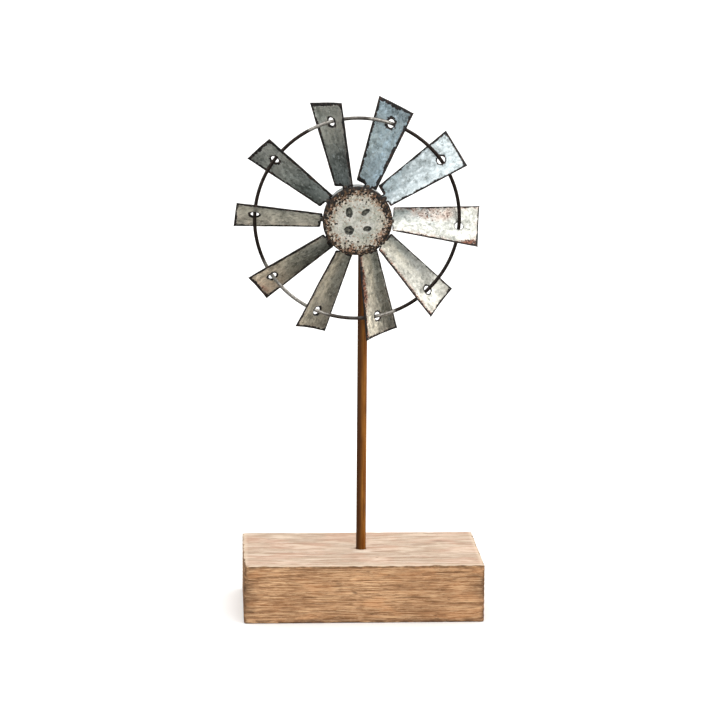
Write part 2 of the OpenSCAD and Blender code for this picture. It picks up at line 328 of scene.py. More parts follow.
def ring_wire():
    """Blackened wire, bright where the ring carries worn: partly worn bare metal, partly painted highlight."""
    s = Shader("ring_wire")
    place = s.place()
    patch = s.clouds(place, 90, 4, 0.65)
    pits = s.clouds(place, 900, 4, 0.7)
    dark = s.mix(s.fade(pits, 0.40, 0.62), rgb(26, 21, 18), rgb(62, 50, 44))
    bare = s.mix(s.fade(pits, 0.40, 0.65), rgb(178, 174, 168), rgb(112, 106, 98))
    # Bright stretches of the wire: partly worn bare, partly painted highlight.
    rub_and_highlight_share = s.fade(s.sum(s.value("worn"), s.times(patch, 0.6)), 0.55, 1.05)
    colour = s.mix(rub_and_highlight_share, dark, bare)
    rough = s.fade(rub_and_highlight_share, 0.0, 1.0, 0.45, 0.34)
    return s.finish(colour, rough, 0.75, s.bump(s.sum(pits, s.times(patch, 0.5)), 0.12))


def mast_paint():
    """Thin rust-brown paint with runs along the rod, painted shade down its left side, and darker near the wheel.
    """
    s = Shader("mast_paint")
    runs = s.clouds(s.place((1, 1, 0.06)), 520, 3, 0.6)
    patch = s.clouds(s.place((1, 1, 0.35)), 95, 4, 0.65)
    pits = s.clouds(s.place(), 1400, 3, 0.6)
    colour = s.mix(s.fade(runs, 0.32, 0.70), rgb(108, 60, 12), rgb(150, 98, 36))
    colour = s.mix(s.times(s.fade(patch, 0.48, 0.70), 0.65), colour, rgb(70, 36, 10))
    colour = s.mix(s.times(s.fade(pits, 0.62, 0.72), 0.7), colour, rgb(40, 22, 10))
    # Painted shade: the rod's left side, away from the light, is painted darker.
    painted_left_shade = s.fade(s.sum(s.along("X"), s.times(s.sum(patch, -0.5), 0.003)), 0.0016, -0.0020)
    colour = s.mix(s.times(painted_left_shade, 0.9), colour, rgb(52, 24, 3))
    colour = s.mix(s.fade(s.along("Z"), 0.10, 0.20, 0.0, 0.25), colour, rgb(70, 36, 10))
    rough = s.fade(patch, 0.35, 0.7, 0.40, 0.58)
    normal = s.bump(s.sum(s.times(runs, 0.5), s.times(pits, 0.4)), 0.12)
    return s.finish(colour, rough, 0.0, normal, specular=0.12)


def zinc_plate():
    """Bright zinc plating for the washers and nuts, slightly yellowed and scuffed."""
    s = Shader("zinc_plate")
    place = s.place()
    haze = s.clouds(place, 300, 3, 0.6)
    scuff = s.clouds(place, 1600, 3, 0.6)
    colour = s.mix(s.fade(haze, 0.35, 0.65), rgb(168, 166, 156), rgb(206, 206, 204))
    rough = s.fade(scuff, 0.35, 0.7, 0.25, 0.5)
    return s.finish(colour, rough, 1.0, s.bump(scuff, 0.05))


def timber():
    """Rough pine, with some painted shade among its marks. The block carries ring (growth rings), top (whitewash),
    worn (worn-down edges) and end.
    """
    s = Shader("timber")
    ring = s.value("ring")
    top = s.value("top")
    worn = s.value("worn")
    end = s.value("end")
    fibre = s.clouds(s.place((0.030, 1, 1)), 1500, 3, 0.65)
    streak = s.clouds(s.place((0.018, 1, 1)), 900, 3, 0.62)
    band = s.clouds(s.place((0.08, 1, 1)), 130, 3, 0.6)
    hair = s.clouds(s.place((0.030, 1, 1)), 2600, 2, 0.6, 4.0)
    patch = s.clouds(s.place((0.5, 1, 1)), 60, 4, 0.6)
    fleck = s.clouds(s.place((0.16, 1, 1)), 900, 3, 0.65, 3.0)

    grain = s.sum(s.times(ring, 0.10), s.times(streak, 0.60))
    grain = s.sum(grain, s.times(band, 0.30))
    side = s.mix(s.fade(grain, 0.36, 0.64), rgb(190, 147, 108), rgb(132, 95, 64))
    side = s.mix(s.times(s.fade(fibre, 0.555, 0.575), 0.50), side, rgb(100, 68, 42))
    side = s.mix(s.times(s.fade(fibre, 0.445, 0.425), 0.50), side, rgb(218, 180, 138))
    side = s.mix(s.times(s.fade(hair, 0.56, 0.58), 0.60), side, rgb(84, 56, 36))
    side = s.mix(s.times(s.fade(hair, 0.43, 0.41), 0.60), side, rgb(224, 186, 144))
    crack = s.fade(s.clouds(s.place((0.03, 1, 1)), 640, 2, 0.5, 6.0), 0.665, 0.69)
    side = s.mix(s.times(crack, 0.60), side, rgb(78, 50, 30))
    tawny = s.fade(s.clouds(s.place((0.35, 1, 1)), 110, 3, 0.6, 5.0), 0.50, 0.66)
    side = s.mix(s.times(tawny, 0.28), side, rgb(190, 132, 86))
    mottle = s.clouds(s.place((0.30, 1, 1)), 420, 4, 0.75, 7.0)
    side = s.mix(s.times(s.fade(mottle, 0.52, 0.64), 0.45), side, rgb(112, 78, 52))
    side = s.mix(s.times(s.fade(mottle, 0.46, 0.36), 0.35), side, rgb(212, 172, 132))
    side = s.mix(s.times(s.fade(patch, 0.42, 0.64), 0.30), side, rgb(122, 84, 54))
    washed = s.mix(s.fade(grain, 0.38, 0.66), rgb(192, 170, 150), rgb(150, 124, 102))
    washed = s.mix(s.times(s.fade(fibre, 0.54, 0.60), 0.40), washed, rgb(130, 104, 84))
    washed = s.mix(s.times(s.fade(hair, 0.53, 0.57), 0.35), washed, rgb(120, 96, 76))
    washed = s.mix(s.times(s.fade(patch, 0.46, 0.60), 0.45), washed, rgb(186, 146, 124))
    pale = s.fade(s.clouds(s.place((0.3, 1, 1)), 140, 3, 0.6, 8.0), 0.50, 0.64)
    washed = s.mix(s.times(pale, 0.45), washed, rgb(222, 204, 184))
    washed = s.mix(s.times(s.fade(fibre, 0.46, 0.38), 0.60), washed, rgb(222, 206, 190))
    colour = s.mix(top, side, washed)
    colour = s.mix(s.times(end, 0.45), colour, rgb(140, 104, 74))
    colour = s.mix(s.times(s.times(end, ring), 0.60), colour, rgb(96, 66, 42))
    colour = s.mix(s.times(s.fade(fleck, 0.62, 0.70), 0.55), colour, rgb(84, 58, 38))
    grubby = s.times(worn, s.fade(s.clouds(s.place((0.5, 1, 1)), 300, 4, 0.7), 0.36, 0.58))
    grubby = s.times(grubby, s.fade(top, 0.2, 0.9, 1.0, 0.0))
    colour = s.mix(s.times(grubby, 0.85), colour, rgb(84, 60, 42))
    colour = s.mix(s.times(s.times(worn, s.fade(top, 0.4, 0.9)), 0.55), colour, rgb(228, 210, 186))
    # The small marks, painted shade among them.
    for spot, reach_x, reach_z, share, shade in WOOD_MARKS_AND_SHADE:
        colour = s.mix(mark_strength(s, spot, reach_x, reach_z, share), colour, shade)

    height = s.sum(s.times(fibre, 0.65), s.times(streak, 0.45))
    height = s.sum(height, s.times(s.fade(fleck, 0.62, 0.70), -0.5))
    rough = s.fade(fibre, 0.3, 0.7, 0.66, 0.9)
    return s.finish(colour, rough, 0.0, s.bump(height, 0.5), specular=0.2)


def mark_strength(s, spot, reach_x, reach_yz, share):
    """How much of a small mark shows: share at its middle, none past its reach, all in millimetres."""
    place = s.place((1 / (reach_x * MM), 1 / (reach_yz * MM), 1 / (reach_yz * MM)))
    centre = (spot[0] / reach_x, spot[1] / reach_yz, spot[2] / reach_yz)
    gap = s.add("ShaderNodeVectorMath", {0: place, 1: centre}, "Value", operation="DISTANCE")
    ragged = s.sum(gap, s.times(s.clouds(s.place((0.3, 1, 1)), 900, 3, 0.6), 0.8))
    return s.fade(ragged, 1.25, 0.55, 0.0, share)


# Small marks on the block, some of them painted shade: place, half length, half height, strength, colour
DARK_MARK = rgb(58, 38, 26)
PALE_MARK = rgb(232, 220, 204)
WOOD_MARKS_AND_SHADE = [
    ((1, -8, 38), 10.0, 5.0, 0.55, PALE_MARK),
    # Painted shadow on the top, beside the mast's foot on its left.
    ((-5, -1, 38), 3.5, 1.6, 0.45, DARK_MARK),
    ((9, -24, 38), 1.6, 1.0, 0.85, DARK_MARK),
    ((-6, -44.5, 20), 3.2, 1.3, 0.6, DARK_MARK),
    ((70, -44.5, 31), 9.0, 2.2, 0.55, DARK_MARK),
    ((52, 18, 38), 8.0, 2.5, 0.35, DARK_MARK),
    # Painted shade down the left end of the front face, away from the light.
    ((-77, -44.5, 19), 14.0, 24.0, 0.40, DARK_MARK),
    # Painted contact shadow along the foot of the front face.
    ((-40, -44.5, 0), 26.0, 3.0, 0.45, DARK_MARK),
    ((77, -44.5, 24), 13.0, 16.0, 0.30, DARK_MARK),
    ((-73, -44.5, 8), 6.0, 2.0, 0.5, DARK_MARK),
]

MATERIALS = {
    "galvanised_sheet": galvanised_sheet(),
    "cap_patina": cap_patina(),
    "ring_wire": ring_wire(),
    "drum_steel": dark_metal("drum_steel", rgb(78, 82, 84), rgb(156, 160, 160), 0.5, 0.7),
    "axle_steel": dark_metal("axle_steel", rgb(70, 48, 34), rgb(120, 104, 90), 0.45, 0.8),
    "weld_metal": dark_metal("weld_metal", rgb(44, 36, 32), rgb(110, 98, 88), 0.55, 0.7, 1500.0, 0.3),
    "mast_paint": mast_paint(),
    "zinc_hardware": zinc_plate(),
    "timber": timber(),
}


# ---------------------------------------------------------------- CAD nodes that keep their shape
def dress_cad_nodes():
    for entry in frame["record"]["subparts"]:
        node = frame["nodes"][entry["node"]]
        node.data.materials.clear()
        node.data.materials.append(MATERIALS[entry["material_slot"]])


# ---------------------------------------------------------------- blades
# Sheet shape, as the CAD has it
SHEET = 0.8
CAMBER_RADIUS = 75.0
TIP_R = 77.0
TIP_W = 29.0
ROOT_R = 22.4
ROOT_LOW = -9.15
ROOT_HIGH = 7.95
ROOT_TRIM = 0.8
TAB_R = 18.6
TAB_LOW = -5.3
TAB_HIGH = 1.1
HOLE_R = 2.65
# How the sheet is meshed: softened edge, gap between its inner points, their clearance, and hole corners
BEVEL = 0.22
SHEET_GRID = 1.7
GRID_CLEAR = 0.9
HOLE_CORNERS = 28
# The hand-cut outline stays this far inside the true tip
TIP_INSET = 0.06

# How each blade has weathered and how light falls on it, painted into its colour: brightness of the zinc at
# its root and at its tip (partly patina, partly painted light and shade), how much brighter its leading
# (clockwise) half is than its trailing half (painted shading of the cupped sheet), its warmth where it is bright,
# the width of its dark edge in millimetres, and rust on the leading edge, on the trailing edge and at the tip. The
# values are typed by hand, and were tuned against average colours that a scratch script read from the photo and
# the render.
WEATHER_AND_LIGHT = {
    "blade_01": (0.30, 0.98, -0.03, 1.00, 1.6, 0.45, 0.10, 0.30),
    "blade_02": (0.98, 0.45, -0.25, 0.05, 1.8, 0.10, 0.00, 0.10),
    "blade_03": (0.92, 0.92, 0.00, 0.35, 1.1, 0.10, 0.10, 0.20),
    "blade_04": (0.66, 0.70, 0.35, 0.80, 0.85, 0.55, 0.45, 0.35),
    "blade_05": (0.98, 0.98, 1.05, 0.90, 1.0, 0.90, 0.15, 0.30),
    "blade_06": (0.78, 0.70, 0.95, 1.00, 1.1, 1.00, 0.10, 0.25),
    "blade_07": (0.62, 1.00, 0.42, 1.00, 1.2, 0.30, 0.15, 0.30),
    "blade_08": (0.33, 0.85, 0.45, 1.00, 1.5, 0.15, 0.10, 0.40),
    "blade_09": (0.92, 0.76, -0.55, 0.75, 1.4, 0.15, 0.25, 0.20),
    "blade_10": (0.28, 0.92, 0.30, 0.70, 1.6, 0.10, 0.10, 0.15),
}

# Patches of rust on the sheets: place out along the blade and across it, half length, half width, strength
RUST_PATCHES = {
    "blade_01": [(66, -14, 6, 3, 0.7)],
    "blade_04": [(73, -13, 9, 5, 0.95), (46, 7, 24, 9, 0.42)],
    "blade_05": [(56, -12, 14, 3, 0.9)],
    "blade_06": [(40, -9, 22, 4, 0.95)],
    "blade_08": [(75, 6, 4, 8, 0.6)],
}


def blade_frame(node):
    """The blade's own frame, from its CAD sheet's outer corners, and its ring hole's place in that frame.
    Local X runs out along the blade, Y across it, and Z along its face's normal."""
    corners = in_wheel(node)
    middle = sum(corners, Vector()) / len(corners)
    out = Vector((middle.x, middle.y, 0)).normalized()
    side = Vector((-out.y, out.x, 0))

    def tip_corner(way):
        """The mean of the sheet's two faces at an outer corner."""
        furthest = max(corners, key=lambda p: 2 * p.dot(out) + way * p.dot(side))
        near = [p for p in corners if (p - furthest).length < SHEET + 0.3]
        return sum(near, Vector()) / len(near)

    trailing, leading = tip_corner(1), tip_corner(-1)
    across = (trailing - leading).normalized()
    along = Vector((across.y, -across.x, 0)).normalized()
    normal = along.cross(across)
    rise = (TIP_W / 2) ** 2 / (2 * CAMBER_RADIUS)
    origin = (trailing + leading) / 2 - along * TIP_R - normal * rise
    hole = Vector((RING_R, -origin.z / across.z))
    return WHEEL_FRAME @ frame_matrix(along, across, normal, origin * MM), hole


def walk(start, end, step):
    """Points from start up to, but not including, end, about one step apart."""
    count = max(2, round((end - start).length / step))
    return [start.lerp(end, i / count) for i in range(count)]


def blade_outline(seed):
    """The sheet's outline, anticlockwise, hand cut: it wanders inward from the true shape, never outward."""
    shoulder = ROOT_R + ROOT_TRIM
    corners = [
        (TIP_R, -TIP_W / 2), (TIP_R, TIP_W / 2), (shoulder, ROOT_HIGH), (ROOT_R, ROOT_HIGH - ROOT_TRIM),
        (ROOT_R, TAB_HIGH), (TAB_R, TAB_HIGH), (TAB_R, TAB_LOW), (ROOT_R, TAB_LOW),
        (ROOT_R, ROOT_LOW + ROOT_TRIM), (shoulder, ROOT_LOW),
    ]
    corners = [Vector(c) for c in corners]
    points = []
    for start, end in zip(corners, corners[1:] + corners[:1]):
        inward = Vector((-(end - start).y, (end - start).x)).normalized()
        for p in walk(start, end, 1.1):
            free = p.x > shoulder + 0.5
            wander = 0.07 + 0.10 * (1 + lumps(p.x / 5, p.y / 5, seed)) if free else 0.0
            nick = 0.4 * max(0.0, lumps(p.x / 1.7, p.y / 1.7, seed + 40) - 0.42) if free else 0.0
            moved = p + inward * (wander + nick)
            moved.x = min(moved.x, TIP_R - TIP_INSET)
            points.append(moved)
    return points


def inset(points, distance):
    """The closed outline moved inward by distance."""
    moved = []
    for before, here, after in zip(points[-1:] + points[:-1], points, points[1:] + points[:1]):
        ahead = (after - before).normalized()
        moved.append(here + Vector((-ahead.y, ahead.x)) * distance)
    return moved


def gap_to(point, loop):
    """Shortest distance from a point to a closed outline."""
    best = 1e9
    for start, end in zip(loop, loop[1:] + loop[:1]):
        run = end - start
        share = min(max((point - start).dot(run) / run.length_squared, 0), 1)
        best = min(best, (start + run * share - point).length)
    return best


def inside(point, loop):
    """Is the point inside the closed outline?"""
    hit = False
    for start, end in zip(loop, loop[1:] + loop[:1]):
        if (start.y > point.y) != (end.y > point.y):
            cross = start.x + (point.y - start.y) * (end.x - start.x) / (end.y - start.y)
            hit = hit != (cross > point.x)
    return hit


def loop_edges(first, count):
    return [(first + i, first + (i + 1) % count) for i in range(count)]


def sheet_plan(outline, hole_centre):
    """Flat triangles inside the outline and outside the ring hole: points, faces and gap to the edge."""
    def hole(radius):
        turns = [2 * math.pi * i / HOLE_CORNERS for i in range(HOLE_CORNERS)]
        return [hole_centre + Vector((math.cos(t), math.sin(t))) * radius for t in turns]

    hole_edge = hole(HOLE_R)
    loops = [outline, inset(outline, BEVEL), hole_edge, hole(HOLE_R + BEVEL)]
    points, edges = [], []
    for loop in loops:
        edges += loop_edges(len(points), len(loop))
        points += loop
    rows = int((TIP_R - TAB_R) / SHEET_GRID)
    columns = math.ceil(TIP_W / 2 / SHEET_GRID)
    for row in range(rows):
        for column in range(-columns, columns + 1):
            p = Vector((TAB_R + 1 + row * SHEET_GRID, (column + 0.5 * (row % 2)) * SHEET_GRID))
            clear = (p - hole_centre).length > HOLE_R + 1
            if clear and inside(p, outline) and gap_to(p, outline) > GRID_CLEAR:
                points.append(p)
    flat, _, faces, _, _, _ = delaunay_2d_cdt(points, edges, [], 1, 1e-4)

    def kept(face):
        middle = sum((flat[i] for i in face), Vector((0, 0))) / 3
        return (middle - hole_centre).length > HOLE_R * 0.99 and inside(middle, outline)

    faces = [f for f in faces if kept(f)]
    used = sorted({i for f in faces for i in f})
    renumber = {old: new for new, old in enumerate(used)}
    flat = [flat[i] for i in used]
    faces = [tuple(renumber[i] for i in f) for f in faces]
    edge_gap = [gap_to(p, outline) for p in flat]
    hole_gap = [(p - hole_centre).length - HOLE_R for p in flat]
    return flat, faces, edge_gap, hole_gap


def make_blade(node, number):
    """One blade: a cupped sheet with softened, hand-cut edges and slight dents."""
    root_tone_and_light, tip_tone_and_light, lead_half_light, warmth, edge_width, rust_lead, rust_trail, rust_tip = WEATHER_AND_LIGHT[node]
    patches = RUST_PATCHES.get(node, [])
    place, hole_centre = blade_frame(node)
    seed = 10.0 * number
    outline = blade_outline(seed)
    flat, faces, edge_gap, hole_gap = sheet_plan(outline, hole_centre)
    count = len(flat)
    front, back, rust, tone_and_light, dark_edge, warm = [], [], [], [], [], []
    for p, edge, lip in zip(flat, edge_gap, hole_gap):
        settle = smooth(ROOT_R, ROOT_R + 12, p.x) * smooth(0.0, 4.0, lip)
        wave = 0.16 * lumps(p.x / 13, p.y / 9, seed) + 0.05 * lumps(p.x / 4, p.y / 4, seed + 9)
        middle = p.y * p.y / (2 * CAMBER_RADIUS) + settle * wave
        soft = smooth(-0.02, 0.2, min(edge, max(lip, 0)))
        half = SHEET / 2 * (0.45 + 0.55 * soft)
        front.append((p.x, p.y, middle + half))
        back.append((p.x, p.y, middle - half))
        run_out = (p.x - ROOT_R) / (TIP_R - ROOT_R)
        low = ROOT_LOW + (-TIP_W / 2 - ROOT_LOW) * run_out
        high = ROOT_HIGH + (TIP_W / 2 - ROOT_HIGH) * run_out
        lead = smooth(5.0, 0.0, p.y - low) * rust_lead
        trail = smooth(5.0, 0.0, high - p.y) * rust_trail
        tip = smooth(6.0, 0.0, TIP_R - p.x) * rust_tip
        spots = [share * smooth(1.0, 0.4, math.hypot((p.x - x) / long, (p.y - y) / wide))
                 for x, y, long, wide, share in patches]
        rust.append(max([lead, trail, tip] + spots))
        # Painted shading of the cupped sheet: the leading half is painted lighter than the trailing half (darker
        # where the value is below zero), most near the root.
        lift = lead_half_light * (smooth(0.9, 0.1, (p.y - low) / (high - low)) - 0.5) * (1.2 - 0.5 * run_out)
        # Zinc brightness from root to tip, partly patina and partly painted light and shade, plus the painted
        # shading above.
        tone_and_light.append(root_tone_and_light + (tip_tone_and_light - root_tone_and_light) * smooth(0.25, 0.95, run_out) + lift)
        # Painted shade at the root: the dark edge is painted wider on the trailing side beside the cap, where the
        # cap and the drum's slot shade the sheet, and narrower on the leading side.
        root_shade = smooth(ROOT_R + 4, ROOT_R, p.x) * (smooth(-2.0, 3.0, p.y) - 0.45)
        clean = smooth(ROOT_R + 4, ROOT_R + 1, p.x) * smooth(1.1, 0.85, edge_width)
        dark_edge.append(edge_width * (1 + 1.1 * root_shade) * (1 - 0.8 * clean))
        # Half as warm near the root and where the sheet is painted dark: painted cool shade.
        warm.append(warmth * (0.5 + 0.5 * max(smooth(0.1, 0.8, run_out), smooth(0.35, 0.8, tone_and_light[-1]))))
    shell = list(faces) + [tuple(count + i for i in reversed(f)) for f in faces]
    sides = {}
    for a, b, c in faces:
        for edge in ((a, b), (b, c), (c, a)):
            sides[edge] = True
    for a, b in list(sides):
        if (b, a) not in sides:
            shell.append((b, a, count + a, count + b))
    hole_edge = 0.3 + 2.0 * max(0.0, 1.1 - edge_width)
    rim = [min(e, max(h, 0) + hole_edge) for e, h in zip(edge_gap, hole_gap)]
    values = {
        "rim": rim * 2,
        "rust": rust * 2,
        "tone_and_light": tone_and_light * 2,
        "warmth": warm * 2,
        "edge_width": dark_edge * 2,
        "seed": [seed] * (2 * count),
    }
    make_piece(
        f"{node}_sheet", front + back, shell, place, WHEEL,
        MATERIALS["galvanised_sheet"], [node], values,
    )


# ---------------------------------------------------------------- ring
ring_points = in_wheel("wire_ring")
ring_inner = min(reach(p) for p in ring_points)
ring_outer = max(reach(p) for p in ring_points)
RING_R = (ring_inner + ring_outer) / 2
WIRE_R = (ring_outer - ring_inner) / 2
HOOP_STEPS, WIRE_STEPS = 300, 16

# Where the hoop is worn bright and carries a painted highlight: middle and half width of the stretch, in degrees,
# and how much
RUB_AND_HIGHLIGHT = [(-130, 26, 0.8), (-96, 14, 0.35), (-73, 6, 0.8), (78, 8, 0.6), (92, 18, 0.42), (111, 8, 0.75)]


def make_ring():
    """The hoop, bent by hand: it wanders a little from a true circle."""
    points, faces, worn = [], [], []
    for i in range(HOOP_STEPS):
        turn = 2 * math.pi * i / HOOP_STEPS
        degrees = math.degrees(turn)
        rub_and_highlight = 0.0
        for middle, half, share in RUB_AND_HIGHLIGHT:
            off = abs((degrees - middle + 180) % 360 - 180)
            rub_and_highlight = max(rub_and_highlight, share * smooth(1.4, 0.6, off / half))
        out = Vector((math.cos(turn), math.sin(turn), 0))
        drift = 0.10 * lumps(2 * out.x, 2 * out.y, 3)
        lift = 0.10 * lumps(2 * out.x, 2 * out.y, 8)
        wire = WIRE_R * (0.965 + 0.02 * lumps(30 * out.x, 30 * out.y, 5))
        centre = out * (RING_R + drift) + Vector((0, 0, lift))
        for j in range(WIRE_STEPS):
            side = 2 * math.pi * j / WIRE_STEPS
            points.append(centre + out * (wire * math.cos(side)) + Vector((0, 0, wire * math.sin(side))))
            worn.append(rub_and_highlight)
            here, ahead = i * WIRE_STEPS, (i + 1) % HOOP_STEPS * WIRE_STEPS
            beside = (j + 1) % WIRE_STEPS
            faces.append((here + j, ahead + j, ahead + beside, here + beside))
    make_piece(
        "wire_ring_hoop", points, faces, WHEEL_FRAME, WHEEL,
        MATERIALS["ring_wire"], ["wire_ring"], {"worn": worn},
    )


# ---------------------------------------------------------------- cap
cap_points = in_wheel("hub_cap")
CAP_R = max(reach(p) for p in cap_points)
CAP_FRONT = max(p.z for p in cap_points)
CAP_BACK = min(p.z for p in cap_points)
CAP_SHEET = 0.8
CAP_EDGE = 2.4
CAP_STEPS = 180

# Weld dents in the cap: middle across and up, half length, half width, turn in degrees, depth
# The middles come from a scratch script that turned the dents' places in the photo into millimetres
DENTS = [
    (-5.4, 5.9, 3.4, 2.2, 95, 0.55),
    (4.8, 6.1, 3.1, 1.7, 38, 0.50),
    (-5.4, -5.6, 3.1, 3.0, 20, 0.55),
    (6.0, -4.5, 2.6, 1.9, 5, 0.45),
]


def dent_at(x, y):
    """How deep the cap's face is pushed in at a place, in millimetres, and how far inside a dent it is."""
    depth, burnt = 0.0, 0.0
    for middle_x, middle_y, half_length, half_width, degrees, deep in DENTS:
        turn = math.radians(degrees)
        dx, dy = x - middle_x, y - middle_y
        along = (dx * math.cos(turn) + dy * math.sin(turn)) / half_length
        across = (dy * math.cos(turn) - dx * math.sin(turn)) / half_width
        gap = math.hypot(along, across) * (1 + 0.16 * lumps(dx / 1.5, dy / 1.5, middle_x))
        depth += deep * smooth(1.0, 0.62, gap) - 0.10 * smooth(0.9, 1.15, gap) * smooth(1.45, 1.15, gap)
        burnt = max(burnt, 1.1 - gap)
    return depth, burnt


def cap_profile():
    """The cap's section from the middle of its face round the lip to the middle of its inner face."""
    corner = CAP_R - CAP_EDGE
    section = [(r, CAP_FRONT, True) for r in spread(0.5, corner, 0.5)]
    for i in range(1, 9):
        turn = math.radians(90 * i / 8)
        r = corner + CAP_EDGE * math.sin(turn)
        section.append((r, CAP_FRONT - CAP_EDGE * (1 - math.cos(turn)), True))
    section.append((CAP_R, CAP_BACK + 0.1, True))
    section.append((CAP_R - 0.15, CAP_BACK, True))
    section.append((CAP_R - CAP_SHEET, CAP_BACK, False))
    inner_edge = CAP_EDGE - CAP_SHEET
    for i in range(6, -1, -1):
        turn = math.radians(90 * i / 6)
        r = corner + inner_edge * math.sin(turn)
        section.append((r, CAP_FRONT - CAP_SHEET - inner_edge * (1 - math.cos(turn)), False))
    section += [(r, CAP_FRONT - CAP_SHEET, False) for r in reversed(spread(0.5, corner - 1, 1.5))]
    return section


def spread(low, high, step):
    count = max(1, round((high - low) / step))
    return [low + (high - low) * i / count for i in range(count + 1)]


def make_cap():
    """The pressed cap: four burnt dents, a faintly uneven face and a slightly ragged lip."""
    around = CAP_STEPS
    section = cap_profile()
    points, faces = [], []
    out, burn = [], []

    def put(r, turn, z, outer):
        x, y = r * math.cos(turn), r * math.sin(turn)
        dent, burnt = dent_at(x, y)
        sag = 0.10 + 0.10 * lumps(x / 6, y / 6, 2) + 0.06 * lumps(x / 2, y / 2, 6)
        if not outer:
            sag, burnt = 0.10 + dent * 0.2, 0.0
        points.append((x, y, z - (dent if outer else 0.0) - sag * smooth(CAP_R, CAP_R - 6, r)))
        out.append(r / CAP_R + 0.03 * math.sin(turn) * smooth(0.5, 1.0, r / CAP_R))
        burn.append(burnt)

    for r, z, outer in section:
        for i in range(around):
            put(r, 2 * math.pi * i / around, z, outer)
    rings = len(section)
    for k in range(rings - 1):
        for i in range(around):
            j = (i + 1) % around
            faces.append((k * around + i, (k + 1) * around + i, (k + 1) * around + j, k * around + j))
    put(0, 0, CAP_FRONT, True)
    put(0, 0, CAP_FRONT - CAP_SHEET, False)
    face_middle, inner_middle = rings * around, rings * around + 1
    for i in range(around):
        j = (i + 1) % around
        faces.append((face_middle, i, j))
        faces.append((inner_middle, (rings - 1) * around + j, (rings - 1) * around + i))
    make_piece(
        "hub_cap_pressing", points, faces, WHEEL_FRAME, WHEEL,
        MATERIALS["cap_patina"], ["hub_cap"], {"out": out, "dent": burn},
    )


# ---------------------------------------------------------------- timber block
BLOCK_LOW, BLOCK_HIGH = (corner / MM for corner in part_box("base_block"))
MAST_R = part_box("mast_rod")[1].x / MM
BORE_PLAY = 0.35
BORE_DEPTH = 14.0
COUNTERBORE_R = 9.0
COUNTERBORE_H = 12.0
STUD_HOLE_R = 2.7
# Size of the block's surface quads along X, and along Y and Z
BLOCK_GRID_X, BLOCK_GRID_YZ = 1.8, 0.62

# Where the tree's centre lies behind the block's section, and the mean gap between its growth rings
PITH_Y, PITH_Z = 14.0, -52.0
RING_GAP = 2.6


def growth(x, y, z):
    """Growth ring shade at a place in the block: 0 in soft early wood, 1 in a hard late-wood line."""
    sway = 5.0 * lumps(x / 130, y / 60, z / 60) + 0.9 * lumps(x / 26, y / 9, z / 9)
    distance = math.hypot(y - PITH_Y, z - PITH_Z) + sway
    phase = distance / RING_GAP + 0.8 * lumps(distance / 9, 0.5, 0.5)
    share = phase - math.floor(phase)
    return smooth(0.25, 0.86, share) * smooth(1.0, 0.93, share)


def block_shell(step_x, step_yz):
    """A closed box of small quads over the block: points and faces, with shared edges."""
    size = BLOCK_HIGH - BLOCK_LOW
    counts = [round(size.x / step_x), round(size.y / step_yz), round(size.z / step_yz)]
    index, points, faces = {}, [], []

    def corner(cell):
        if cell not in index:
            index[cell] = len(points)
            points.append(Vector(BLOCK_LOW[a] + size[a] * cell[a] / counts[a] for a in range(3)))
        return index[cell]

    for axis in range(3):
        first, second = (axis + 1) % 3, (axis + 2) % 3
        for level in (0, counts[axis]):
            for i in range(counts[first]):
                for j in range(counts[second]):
                    quad = []
                    for di, dj in ((0, 0), (1, 0), (1, 1), (0, 1)):
                        cell = [0, 0, 0]
                        cell[axis], cell[first], cell[second] = level, i + di, j + dj
                        quad.append(corner(tuple(cell)))
                    faces.append(tuple(quad if level else reversed(quad)))
    return points, faces


def soften(p, radius):
    """A point of the sharp box, moved on to the box with its edges rounded to radius."""
    core = Vector(min(max(p[a], BLOCK_LOW[a] + radius), BLOCK_HIGH[a] - radius) for a in range(3))
    away = p - core
    if away.length < 1e-6:
        return p
    return core + away.normalized() * radius


